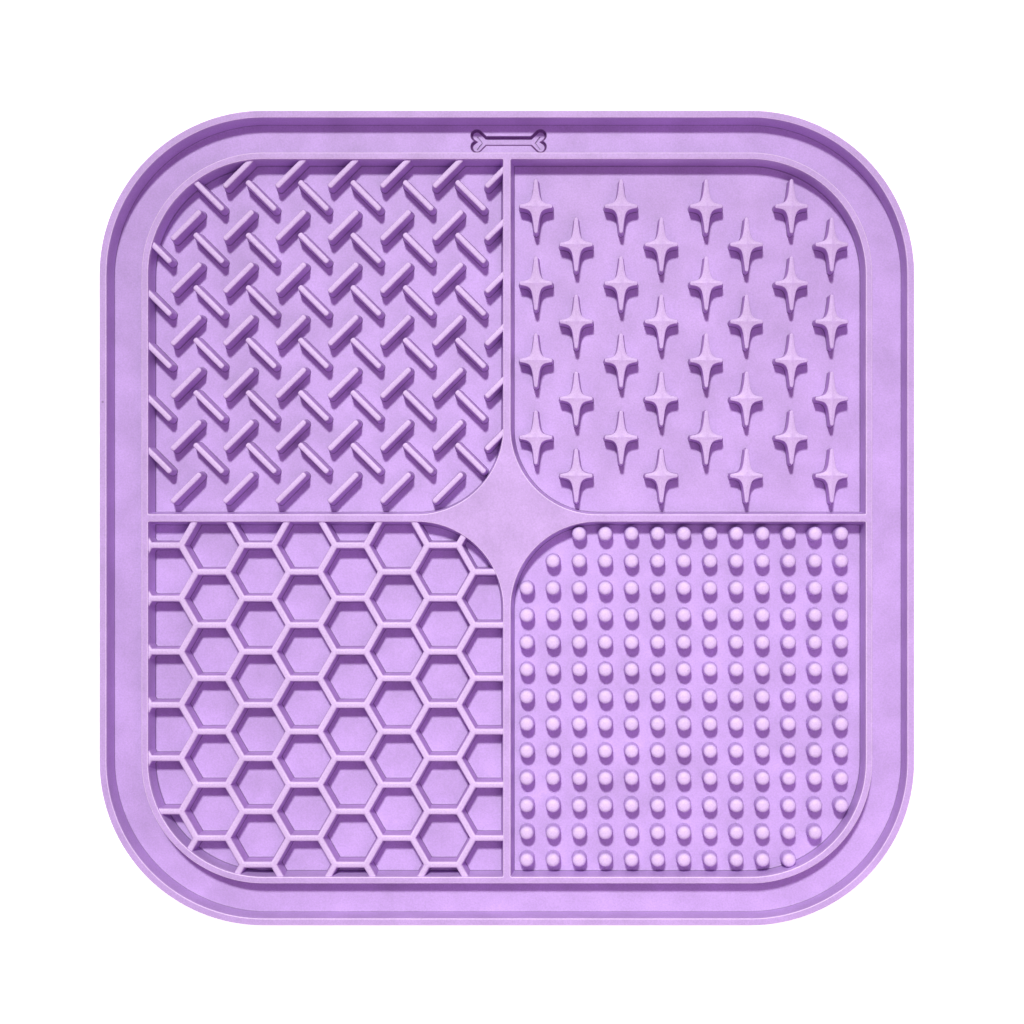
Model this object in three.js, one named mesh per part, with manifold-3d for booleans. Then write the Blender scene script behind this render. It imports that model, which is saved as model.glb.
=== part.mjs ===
// Square lick mat, moulded in one piece of silicone: a flat sheet with a raised lip,
// a run-off channel, an inner rim and a cross of dividers that part four textured pockets.
// Millimetres, +Z up. The origin is the middle of the flat underside.
// Seen from above with +Y away: bars at -X +Y, stars at +X +Y,
// honeycomb at -X -Y, pegs at +X -Y.

import * as THREE from "three";
import { mergeVertices } from "three/addons/utils/BufferGeometryUtils.js";
import Module from "manifold-3d";

const wasm = await Module();
wasm.setup();

// Heights above the underside
const CHANNEL_FLOOR = 2.9;
const POCKET_FLOOR = 2.5;
const LIP_TOP = 8.7;
const RIM_TOP = 8.6;
const BAR_TOP = 7.9;
const HONEYCOMB_TOP = 8.1;
const STAR_TOP = 7.5;
const PEG_TOP = 7.6;

// Plan sizes, each from the middle of the mat
const MAT_HALF = 100.4;
const MAT_CORNER = 40.4;
const EDGE_SOFTENING = 0.4;
const LIP_WIDTH = 1.8;
const RIM_OUTSIDE = 90;
const RIM_INSIDE = 88.4;
const WALL_DRAFT = 0.7;
const DIVIDER_HALF = 0.9;
const WEB_CORNER = 21.4;
const POCKET_SIDE_CORNER = 1;
const CORNER_CENTRE = MAT_HALF - MAT_CORNER;

// How far relief that meets a wall is buried in it, and how far it starts below the floor
const BURIED = 0.4;
const ROOT_DEPTH = 1;

// Slanted bars, in two rows that lean opposite ways
const BAR = { halfLength: 4.9, halfWidth: 0.65, draft: 0.4 };
const BAR_PITCH_X = 12.92;
const BAR_PITCH_Y = 12.96;
const BAR_ROWS = [
  { leansRight: true, firstX: -79.19, firstY: 85.2, columns: 7, rows: 7 },
  { leansRight: false, firstX: -86.51, firstY: 79.58, columns: 7, rows: 6 },
];

// Four-pointed stars, in two staggered sets
const STAR = { reachX: 4.1, reachY: 6.8, tipHalf: 0.45, waistX: 1.35, waistY: 1.55, draft: 0.4, crown: 0.25 };
const STAR_PITCH_X = 21.04;
const STAR_PITCH_Y = 19.03;
const STAR_SETS = [
  { firstX: 7.1, firstY: 77, columns: 4, rows: 4 },
  { firstX: 17.05, firstY: 67.55, columns: 4, rows: 4 },
];

// Honeycomb of flat-topped hexagons
const CELL_PITCH = 13.13;
const CELL_COLUMN_STEP = 11.4;
const CELL_WALL = 1.4;
const CELL_DRAFT = 0.35;
const CELL_FIRST = { x: -84.22, y: -0.14 };
const CELL_COLUMNS = 8;
const CELL_ROWS = 8;

// Pegs with domed tops, on a square grid that skips two of the pocket's corners
const PEG = { footRadius: 1.85, shoulderRadius: 1.6, shoulder: 4.1, sides: 8 };
const PEG_PITCH_X = 6.485;
const PEG_PITCH_Y = 6.717;
const PEG_FIRST = { x: 4.8, y: -3.9 };
const PEG_COLUMNS = 13;
const PEG_ROWS = 13;
const PEG_CORNER_SKIP = 1;

// Bone ornament sunk in the channel
const BONE = { y: 94, halfShaft: 7.9, shaftHalfWidth: 1.2, knobRadius: 1.55, knobOffset: 1.45, depth: 0.5 };

// Steps in a quarter turn of the larger and smaller corners, and round a knob of the bone
const LARGE_CORNER_STEPS = 10;
const WEB_CORNER_STEPS = 8;
const SMALL_CORNER_STEPS = 2;
const KNOB_STEPS = 8;

// Turns a closed geometry into a solid, leaving out triangles that have shrunk to a line
function solidOf(geometry) {
  geometry.deleteAttribute("normal");
  geometry.deleteAttribute("uv");
  const merged = mergeVertices(geometry, 1e-4);
  const corners = Array.from(merged.index.array);
  const kept = [];
  for (let i = 0; i < corners.length; i += 3) {
    const [a, b, c] = corners.slice(i, i + 3);
    if (a !== b && b !== c && c !== a) kept.push(a, b, c);
  }
  return new wasm.Manifold(new wasm.Mesh({
    numProp: 3,
    vertProperties: new Float32Array(merged.attributes.position.array),
    triVerts: new Uint32Array(kept),
  }));
}

// Closed solid through a stack of levels, each { z, points } with as many points as the next.
// A last level of one point is an apex.
function loft(levels) {
  const positions = [];
  const faces = [];
  for (const { z, points } of levels) {
    for (const point of points) positions.push(point.x, point.y, z);
  }
  const count = levels[0].points.length;
  const last = levels.length - 1;
  const apex = levels[last].points.length === 1;
  for (let level = 0; level < (apex ? last - 1 : last); level += 1) {
    for (let i = 0; i < count; i += 1) {
      const low = level * count;
      const high = low + count;
      const next = (i + 1) % count;
      faces.push(low + i, low + next, high + next);
      faces.push(low + i, high + next, high + i);
    }
  }
  for (const [a, b, c] of THREE.ShapeUtils.triangulateShape(levels[0].points, [])) faces.push(a, c, b);
  if (apex) {
    const rim = (last - 1) * count;
    for (let i = 0; i < count; i += 1) faces.push(rim + i, rim + ((i + 1) % count), last * count);
  } else {
    const top = last * count;
    for (const [a, b, c] of THREE.ShapeUtils.triangulateShape(levels[last].points, [])) {
      faces.push(top + a, top + b, top + c);
    }
  }
  const geometry = new THREE.BufferGeometry();
  geometry.setAttribute("position", new THREE.Float32BufferAttribute(positions, 3));
  geometry.setIndex(faces);
  return solidOf(geometry);
}

// Points of a quarter turn about (x, y), anticlockwise from the given angle
function quarterTurn(x, y, radius, fromAngle, steps) {
  const arc = new THREE.EllipseCurve(x, y, radius, radius, fromAngle, fromAngle + Math.PI / 2);
  return arc.getPoints(steps);
}

// Outline of the mat's own square, grown or shrunk to the given half side
function squareOutline(half) {
  const radius = half - CORNER_CENTRE;
  const points = [];
  for (let corner = 0; corner < 4; corner += 1) {
    const angle = corner * Math.PI / 2;
    const x = CORNER_CENTRE * Math.SQRT2 * Math.cos(angle + Math.PI / 4);
    const y = CORNER_CENTRE * Math.SQRT2 * Math.sin(angle + Math.PI / 4);
    points.push(...quarterTurn(x, y, radius, angle, LARGE_CORNER_STEPS));
  }
  return points;
}

// Outline of one pocket, moved inwards by inset from its size at the top of the rim
function pocketOutline(signX, signY, inset) {
  const near = DIVIDER_HALF + inset;
  const far = RIM_INSIDE - inset;
  const web = WEB_CORNER - inset;
  const outer = RIM_INSIDE - CORNER_CENTRE - inset;
  const small = POCKET_SIDE_CORNER;
  const points = [
    ...quarterTurn(near + web, near + web, web, Math.PI, WEB_CORNER_STEPS),
    ...quarterTurn(far - small, near + small, small, -Math.PI / 2, SMALL_CORNER_STEPS),
    ...quarterTurn(far - outer, far - outer, outer, 0, LARGE_CORNER_STEPS),
    ...quarterTurn(near + small, far - small, small, Math.PI / 2, SMALL_CORNER_STEPS),
  ].map((point) => new THREE.Vector2(signX * point.x, signY * point.y));
  return signX * signY > 0 ? points : points.reverse();
}

// Solid of everything inside a pocket's walls, up to a level, reaching a little into the walls
function pocketFill(signX, signY, top) {
  const outline = pocketOutline(signX, signY, -BURIED);
  return loft([
    { z: POCKET_FLOOR - ROOT_DEPTH, points: outline },
    { z: top, points: outline },
  ]);
}

// Rounded square ring or block with drafted sides
function squareBlock(levels) {
  return loft(levels.map(({ z, half }) => ({ z, points: squareOutline(half) })));
}

// Sheet, lip, channel, rim and dividers
function moulding() {
  const above = 1;
  const channelSlope = WALL_DRAFT / (LIP_TOP - CHANNEL_FLOOR);
  const pocketSlope = WALL_DRAFT / (RIM_TOP - POCKET_FLOOR);
  const lipInside = MAT_HALF - LIP_WIDTH;
  let body = squareBlock([
    { z: 0, half: MAT_HALF - EDGE_SOFTENING },
    { z: EDGE_SOFTENING, half: MAT_HALF },
    { z: LIP_TOP - EDGE_SOFTENING, half: MAT_HALF },
    { z: LIP_TOP, half: MAT_HALF - EDGE_SOFTENING },
  ]);
  body = body.subtract(squareBlock([
    { z: CHANNEL_FLOOR, half: lipInside - WALL_DRAFT },
    { z: LIP_TOP + above, half: lipInside + above * channelSlope },
  ]));
  body = body.add(squareBlock([
    { z: POCKET_FLOOR - ROOT_DEPTH, half: RIM_OUTSIDE + WALL_DRAFT },
    { z: CHANNEL_FLOOR, half: RIM_OUTSIDE + WALL_DRAFT },
    { z: RIM_TOP, half: RIM_OUTSIDE },
  ]));
  for (const signX of [-1, 1]) {
    for (const signY of [-1, 1]) {
      body = body.subtract(loft([
        { z: POCKET_FLOOR, points: pocketOutline(signX, signY, WALL_DRAFT) },
        { z: RIM_TOP + above, points: pocketOutline(signX, signY, -above * pocketSlope) },
      ]));
    }
  }
  return body.subtract(bone());
}

// Bone outline as one path: a knob, half the end notch and a shaft edge, mirrored twice
function boneOutline() {
  const { halfShaft, shaftHalfWidth, knobRadius, knobOffset } = BONE;
  const notchAngle = -Math.asin(knobOffset / knobRadius);
  const shaftAngle = Math.PI + Math.asin((knobOffset - shaftHalfWidth) / knobRadius);
  const knob = new THREE.EllipseCurve(halfShaft, knobOffset, knobRadius, knobRadius, notchAngle, shaftAngle);
  const quarter = knob.getPoints(KNOB_STEPS);
  const upper = [...quarter, ...quarter.map((p) => new THREE.Vector2(-p.x, p.y)).reverse()];
  const lower = upper.slice(1, -1).map((p) => new THREE.Vector2(-p.x, -p.y));
  return [...upper, ...lower];
}

// Cutter for the sunk bone
function bone() {
  const points = boneOutline().map((point) => new THREE.Vector2(point.x, point.y + BONE.y));
  return loft([
    { z: CHANNEL_FLOOR - BONE.depth, points },
    { z: CHANNEL_FLOOR + 1, points },
  ]);
}

// One drafted bar, leaning to the right or to the left
function bar(x, y, leansRight) {
  const middle = new THREE.Vector2(x, y);
  const angle = leansRight ? Math.PI / 4 : -Math.PI / 4;
  const outline = (grow) => {
    const u = BAR.halfLength + grow;
    const v = BAR.halfWidth + grow;
    const corners = [[u, -v], [u, v], [-u, v], [-u, -v]];
    return corners.map(([du, dv]) => new THREE.Vector2(x + du, y + dv).rotateAround(middle, angle));
  };
  return loft([
    { z: POCKET_FLOOR - ROOT_DEPTH, points: outline(BAR.draft) },
    { z: POCKET_FLOOR, points: outline(BAR.draft) },
    { z: BAR_TOP, points: outline(0) },
  ]);
}

// True where a point lies inside the pocket at -X +Y, with the given room to its walls
function insideBarPocket(x, y, room) {
  const near = DIVIDER_HALF + WALL_DRAFT - room;
  const far = RIM_INSIDE - WALL_DRAFT + room;
  const u = -x;
  const web = WEB_CORNER - WALL_DRAFT + room;
  const outer = far - CORNER_CENTRE;
  if (u < near || y < near || u > far || y > far) return false;
  const webCentre = near + web;
  if (u < webCentre && y < webCentre) return Math.hypot(webCentre - u, webCentre - y) < web;
  if (u > CORNER_CENTRE && y > CORNER_CENTRE) return Math.hypot(u - CORNER_CENTRE, y - CORNER_CENTRE) < outer;
  return true;
}

// All bars whose middle lies in the pocket, cut off where they run into its walls
function bars() {
  const kept = [];
  for (const set of BAR_ROWS) {
    for (let column = 0; column < set.columns; column += 1) {
      for (let row = 0; row < set.rows; row += 1) {
        const x = set.firstX + column * BAR_PITCH_X;
        const y = set.firstY - row * BAR_PITCH_Y;
        if (insideBarPocket(x, y, 0.2)) kept.push(bar(x, y, set.leansRight));
      }
    }
  }
  const field = kept.reduce((sum, piece) => sum.add(piece));
  return field.intersect(pocketFill(-1, 1, RIM_TOP));
}

// One four-pointed star with sides drawn in between its arms
function star(x, y) {
  const outline = (grow) => {
    const reachX = STAR.reachX + grow;
    const reachY = STAR.reachY + grow;
    const tip = STAR.tipHalf + grow / 2;
    const waistX = STAR.waistX + grow;
    const waistY = STAR.waistY + grow;
    const quarter = [[reachX, tip], [waistX, waistY], [tip, reachY]];
    const flipped = quarter.map(([u, v]) => [-u, v]).reverse();
    const upper = [...quarter, ...flipped];
    const lower = upper.map(([u, v]) => [-u, -v]);
    return [...upper, ...lower].map(([u, v]) => new THREE.Vector2(x + u, y + v));
  };
  return loft([
    { z: POCKET_FLOOR - ROOT_DEPTH, points: outline(STAR.draft) },
    { z: POCKET_FLOOR, points: outline(STAR.draft) },
    { z: STAR_TOP - STAR.crown, points: outline(0) },
    { z: STAR_TOP, points: [new THREE.Vector2(x, y)] },
  ]);
}

// Both staggered sets of stars
function stars() {
  const made = [];
  for (const set of STAR_SETS) {
    for (let column = 0; column < set.columns; column += 1) {
      for (let row = 0; row < set.rows; row += 1) {
        made.push(star(set.firstX + column * STAR_PITCH_X, set.firstY - row * STAR_PITCH_Y));
      }
    }
  }
  return made.reduce((sum, piece) => sum.add(piece));
}

// Cutter for one hexagonal cell, wider at the top
function cell(x, y) {
  const hexagon = (flat) => {
    const radius = flat / Math.sqrt(3);
    const around = new THREE.EllipseCurve(x, y, radius, radius, 0, 2 * Math.PI).getPoints(6);
    return around.slice(0, 6);
  };
  const above = 1;
  const flatAtTop = CELL_PITCH - CELL_WALL;
  const slope = 2 * CELL_DRAFT / (HONEYCOMB_TOP - POCKET_FLOOR);
  const flatAt = (z) => flatAtTop + (z - HONEYCOMB_TOP) * slope;
  const low = POCKET_FLOOR - ROOT_DEPTH - above;
  const high = HONEYCOMB_TOP + above;
  return loft([
    { z: low, points: hexagon(flatAt(low)) },
    { z: high, points: hexagon(flatAt(high)) },
  ]);
}

// Honeycomb walls: the pocket filled to their height, less every cell
function honeycomb() {
  let walls = pocketFill(-1, -1, HONEYCOMB_TOP);
  for (let column = 0; column < CELL_COLUMNS; column += 1) {
    const stagger = column % 2 === 0 ? 0 : -CELL_PITCH / 2;
    for (let row = 0; row < CELL_ROWS; row += 1) {
      const x = CELL_FIRST.x + column * CELL_COLUMN_STEP;
      const y = CELL_FIRST.y + stagger - row * CELL_PITCH;
      walls = walls.subtract(cell(x, y));
    }
  }
  return walls;
}

// One peg, a tapered post with a domed top
function peg(x, y) {
  const profile = [
    new THREE.Vector2(0, POCKET_FLOOR - ROOT_DEPTH),
    new THREE.Vector2(PEG.footRadius, POCKET_FLOOR - ROOT_DEPTH),
    new THREE.Vector2(PEG.footRadius, POCKET_FLOOR),
    new THREE.Vector2(PEG.shoulderRadius, POCKET_FLOOR + PEG.shoulder),
    new THREE.Vector2(0, PEG_TOP),
  ];
  const geometry = new THREE.LatheGeometry(profile, PEG.sides);
  geometry.rotateX(Math.PI / 2);
  geometry.translate(x, y, 0);
  return solidOf(geometry);
}

// The grid of pegs, without those nearest the web and the outer corner
function pegs() {
  const made = [];
  for (let column = 0; column < PEG_COLUMNS; column += 1) {
    for (let row = 0; row < PEG_ROWS; row += 1) {
      const fromWeb = column + row;
      const fromOuter = PEG_COLUMNS - 1 - column + PEG_ROWS - 1 - row;
      if (fromWeb <= PEG_CORNER_SKIP || fromOuter <= PEG_CORNER_SKIP) continue;
      made.push(peg(PEG_FIRST.x + column * PEG_PITCH_X, PEG_FIRST.y - row * PEG_PITCH_Y));
    }
  }
  return made.reduce((sum, piece) => sum.add(piece));
}

// Mesh of a finished solid
function meshOf(solid, name, material) {
  const { vertProperties, triVerts } = solid.getMesh();
  const geometry = new THREE.BufferGeometry();
  geometry.setAttribute("position", new THREE.BufferAttribute(vertProperties, 3));
  geometry.setIndex(new THREE.BufferAttribute(triVerts, 1));
  geometry.computeVertexNormals();
  const mesh = new THREE.Mesh(geometry, material);
  mesh.name = name;
  return mesh;
}

const silicone = new THREE.MeshStandardMaterial({ color: 0xd8b0ee, roughness: 0.6, metalness: 0 });

const mat = moulding()
  .add(bars())
  .add(stars())
  .add(honeycomb())
  .add(pegs());

const lickMat = new THREE.Group();
lickMat.add(meshOf(mat, "mat", silicone));

export default lickMat;
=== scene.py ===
"""A square silicone lick mat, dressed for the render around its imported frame.

The mat is one moulding. It is made here as a body (sheet, lip, channel, rim, dividers and web)
and the four textures that stand in its pockets. Plan sizes and heights are in millimetres, seen
from above with +Y away, and become metres when a mesh is made.
"""

from __future__ import annotations

import logging
import math
from collections.abc import Iterable, Sequence
from dataclasses import dataclass
from enum import Enum
from functools import cache
from typing import Protocol

import bmesh
import bpy
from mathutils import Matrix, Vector


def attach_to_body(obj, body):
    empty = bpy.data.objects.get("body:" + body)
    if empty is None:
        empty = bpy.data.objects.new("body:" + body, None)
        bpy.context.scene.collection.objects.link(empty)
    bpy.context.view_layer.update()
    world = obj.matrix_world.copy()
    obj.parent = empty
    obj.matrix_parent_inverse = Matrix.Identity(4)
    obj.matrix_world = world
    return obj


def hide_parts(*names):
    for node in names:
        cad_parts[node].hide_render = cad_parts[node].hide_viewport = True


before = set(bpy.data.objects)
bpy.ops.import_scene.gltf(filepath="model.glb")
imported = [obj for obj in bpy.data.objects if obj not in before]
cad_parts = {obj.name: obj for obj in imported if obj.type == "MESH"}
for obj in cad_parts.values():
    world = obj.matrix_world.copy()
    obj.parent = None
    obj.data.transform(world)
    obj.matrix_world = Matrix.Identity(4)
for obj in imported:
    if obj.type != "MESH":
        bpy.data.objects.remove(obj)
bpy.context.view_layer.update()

LOG = logging.getLogger("lick_mat")
MM = 0.001
NODE = "mat"
BODY = "root"

SMOOTH_ANGLE = math.radians(40)
FLAT_FACE_WEIGHT = 100
MERGE_DISTANCE = 1e-7
SHARPEST_STRETCH = 0.5
CROWN_RINGS = 7
CROWN_POWER = 1.5
NOISE_MIDDLE = 0.5

Point = tuple[float, float]
Triple = tuple[float, float, float]
Ring = Sequence[bmesh.types.BMVert]
Socket = bpy.types.NodeSocket


class Quadrant(Enum):
    """The pocket that a texture stands in, as the signs of its X and Y."""

    BARS = (-1, 1)
    STARS = (1, 1)
    HONEYCOMB = (-1, -1)
    PEGS = (1, -1)


@dataclass(frozen=True)
class Heights:
    """Levels above the flat underside, in millimetres."""

    channel_floor: float = 2.9
    pocket_floor: float = 2.5
    cell_floor: float = 2.52
    lip_top: float = 8.7
    rim_top: float = 8.6
    bar_top: float = 7.9
    honeycomb_top: float = 8.1
    crown_foot: float = 7.375
    peg_top: float = 7.6
    root: float = 1.5


@dataclass(frozen=True)
class Plan:
    """Plan sizes of the body from the middle of the mat, and its radii, in millimetres."""

    half: float = 100.4
    corner_centre: float = 60.0
    lip_inside: float = 98.6
    lip_foot: float = 97.9
    rim_foot: float = 90.7
    rim_outside: float = 90.0
    rim_inside: float = 88.4
    draft: float = 0.7
    edge: float = 0.3
    foot: float = 0.25
    divider_half: float = 0.9
    web_corner: float = 21.4
    side_corner: float = 0.35
    smallest_corner: float = 0.2


HEIGHTS = Heights()
PLAN = Plan()


@dataclass(frozen=True)
class Corner:
    """One corner of a profile: how far out it is, its height, and the radius that rounds it."""

    out: float
    height: float
    radius: float = 0.0

    @property
    def at(self) -> Vector:
        """Where the corner is, as (out, height)."""
        return Vector((self.out, self.height))


Section = tuple[Corner, ...]


def rounded_profile(corners: Sequence[Corner], steps: int = 5) -> list[Point]:
    """Rounds the corners of a profile.

    Args:
        corners: The profile's corners in order.
        steps: Straight steps in each rounded corner.

    Returns:
        Points (out, height) along the rounded profile.
    """
    points: list[Point] = []
    for index, corner in enumerate(corners):
        if corner.radius == 0.0 or index in (0, len(corners) - 1):
            points.append(tuple(corner.at))
            continue
        before = (corner.at - corners[index - 1].at).normalized()
        after = (corners[index + 1].at - corner.at).normalized()
        turn = before.angle_signed(after)
        start = corner.at - before * corner.radius * math.tan(abs(turn) / 2)
        side = -1.0 if turn > 0 else 1.0
        centre = start + Vector((-before.y, before.x)) * side * corner.radius
        spoke = start - centre
        for step in range(steps + 1):
            angle = -turn * step / steps
            turned = Vector((
                spoke.x * math.cos(angle) - spoke.y * math.sin(angle),
                spoke.x * math.sin(angle) + spoke.y * math.cos(angle),
            ))
            points.append(tuple(centre + turned))
    return points


def arc(centre: Point, radius: float, start: float, end: float, steps: int) -> list[Point]:
    """Points along a circular arc.

    Args:
        centre: Middle of the circle.
        radius: Radius of the circle.
        start: First angle in degrees, anticlockwise from +X.
        end: Last angle in degrees.
        steps: Straight steps along the arc.

    Returns:
        The arc's points, both ends among them.
    """
    points = []
    for step in range(steps + 1):
        angle = math.radians(start + (end - start) * step / steps)
        points.append((centre[0] + radius * math.cos(angle), centre[1] + radius * math.sin(angle)))
    return points


def polygon(radius: float, sides: int) -> list[Point]:
    """Corners of a regular polygon round the origin, the first of them at +X."""
    return arc((0.0, 0.0), radius, 0, 360 - 360 / sides, sides - 1)


def rounded_rectangle(corner: Point, radius: float, steps: int) -> list[Point]:
    """Points of a rectangle with round corners, which stands round the origin.

    Args:
        corner: Middle of the round corner at +X and +Y.
        radius: Radius of the corners.
        steps: Straight steps in each corner.

    Returns:
        The rectangle's points, anticlockwise.
    """
    points: list[Point] = []
    for turn, (sign_x, sign_y) in enumerate(((1, 1), (-1, 1), (-1, -1), (1, -1))):
        start = 90.0 * turn
        points += arc((sign_x * corner[0], sign_y * corner[1]), radius, start, start + 90, steps)
    return points


def grown(points: Sequence[Point], grow: float) -> list[Point]:
    """Moves a closed anticlockwise outline outwards along its own normals.

    Args:
        points: The outline.
        grow: Distance outwards, or inwards where it is negative.

    Returns:
        The moved outline, with as many points.
    """
    moved = []
    count = len(points)
    for index, point in enumerate(points):
        here = Vector(point)
        before = (here - Vector(points[index - 1])).normalized()
        after = (Vector(points[(index + 1) % count]) - here).normalized()
        along = (before + after).normalized()
        normal = Vector((along.y, -along.x))
        stretch = max(normal.dot(Vector((after.y, -after.x))), SHARPEST_STRETCH)
        moved.append(tuple(here + normal * grow / stretch))
    return moved


class Outline(Protocol):
    """A closed outline that can be grown outwards or shrunk."""

    def at(self, grow: float) -> list[Point]:
        """Points of the outline, grown by that much, anticlockwise."""


@dataclass(frozen=True)
class SquareOutline:
    """The mat's own rounded square; grow is its half side."""

    steps: int = 32

    def at(self, grow: float) -> list[Point]:
        """Points of the square whose half side is grow."""
        centre = PLAN.corner_centre
        return rounded_rectangle((centre, centre), grow - centre, self.steps)


@dataclass(frozen=True)
class PocketOutline:
    """The inside edge of one pocket at the top of its walls; growing it moves it into them."""

    quadrant: Quadrant
    buried: float = 0.35
    large_steps: int = 24
    small_steps: int = 4

    def at(self, grow: float) -> list[Point]:
        """Points of the pocket's edge.

        Args:
            grow: How far they are moved into the walls.

        Returns:
            The points, anticlockwise.
        """
        near = PLAN.divider_half - grow
        far = PLAN.rim_inside + grow
        web = PLAN.web_corner + grow
        outer = far - PLAN.corner_centre
        small = max(PLAN.side_corner + grow, PLAN.smallest_corner)
        web_centre = near + web
        points = arc((web_centre, web_centre), web, 180, 270, self.large_steps)
        points += arc((far - small, near + small), small, 270, 360, self.small_steps)
        points += arc((PLAN.corner_centre, PLAN.corner_centre), outer, 0, 90, self.large_steps)
        points += arc((near + small, far - small), small, 90, 180, self.small_steps)
        sign_x, sign_y = self.quadrant.value
        points = [(sign_x * x, sign_y * y) for x, y in points]
        return points if sign_x * sign_y > 0 else points[::-1]

    def filled(self, name: str, top: float) -> bpy.types.Object:
        """Makes the solid that fills the pocket up to a height and reaches a little into its walls."""
        return prototype(name, self, [(self.buried, HEIGHTS.root), (self.buried, top)])


@dataclass(frozen=True)
class BarOutline:
    """A slim bar with rounded ends, lying along X."""

    half_length: float = 5.05
    half_width: float = 0.68
    end_radius: float = 0.55
    steps: int = 4

    def at(self, grow: float) -> list[Point]:
        """Points of the bar's edge, grown by that much."""
        corner = (self.half_length - self.end_radius, self.half_width - self.end_radius)
        return rounded_rectangle(corner, self.end_radius + grow, self.steps)


@dataclass(frozen=True)
class StarOutline:
    """A four-pointed star, tall and narrow, with hollow flanks and blunt tips."""

    reach_x: float = 4.1
    reach_y: float = 6.75
    tip_half_x: float = 0.45
    tip_half_y: float = 0.44
    blunt: float = 0.16
    hollow: Point = (1.05, 0.9)
    flank_steps: int = 10

    def flank(self) -> list[Point]:
        """One flank, from the tip at +X to the tip at +Y.

        Returns:
            Points of a cubic curve with one double handle.
        """
        start = Vector((self.reach_x - self.blunt, self.tip_half_x))
        end = Vector((self.tip_half_y, self.reach_y - 2 * self.blunt))
        handle = Vector(self.hollow)
        points = []
        for step in range(self.flank_steps + 1):
            t = step / self.flank_steps
            at = start * (1 - t) ** 3 + handle * 3 * t * (1 - t) + end * t**3
            points.append(tuple(at))
        return points

    def at(self, grow: float) -> list[Point]:
        """Points of the star's edge.

        Args:
            grow: Distance outwards, or inwards where it is negative.

        Returns:
            The points, anticlockwise.
        """
        flank = self.flank()
        left = [(-x, y) for x, y in flank[::-1]]
        upper = [(self.reach_x, 0.0), *flank, (0.0, self.reach_y), *left]
        lower = [(-x, -y) for x, y in upper]
        return grown([*upper, *lower], grow)


@dataclass(frozen=True)
class StrokeOutline:
    """A short line of even width from one place to another."""

    start: Point
    end: Point
    half_width: float = 0.2
    steps: int = 4

    def at(self, grow: float) -> list[Point]:
        """Points of the line's edge.

        Args:
            grow: Distance outwards, or inwards where it is negative.

        Returns:
            The points, anticlockwise.
        """
        run = Vector(self.end) - Vector(self.start)
        angle = math.degrees(math.atan2(run.y, run.x))
        width = self.half_width + grow
        return [
            *arc(self.end, width, angle - 90, angle + 90, self.steps),
            *arc(self.start, width, angle + 90, angle + 270, self.steps),
        ]


@dataclass(frozen=True)
class HexagonOutline:
    """A hexagon with flat sides at +Y and -Y."""

    flat: float

    def at(self, grow: float) -> list[Point]:
        """Points of the hexagon, grown by that much at each side."""
        return polygon((self.flat / 2 + grow) / math.cos(math.pi / 6), 6)


@dataclass(frozen=True)
class RoundOutline:
    """A circle."""

    radius: float
    sides: int = 16

    def at(self, grow: float) -> list[Point]:
        """Points of the circle, grown by that much."""
        return polygon(self.radius + grow, self.sides)


def linked(name: str, data: bpy.types.ID) -> bpy.types.Object:
    """Makes an object and links it to the scene.

    Args:
        name: The object's name.
        data: Its mesh, light or camera.

    Returns:
        The object.
    """
    made = bpy.data.objects.new(name, data)
    bpy.context.scene.collection.objects.link(made)
    return made


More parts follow.
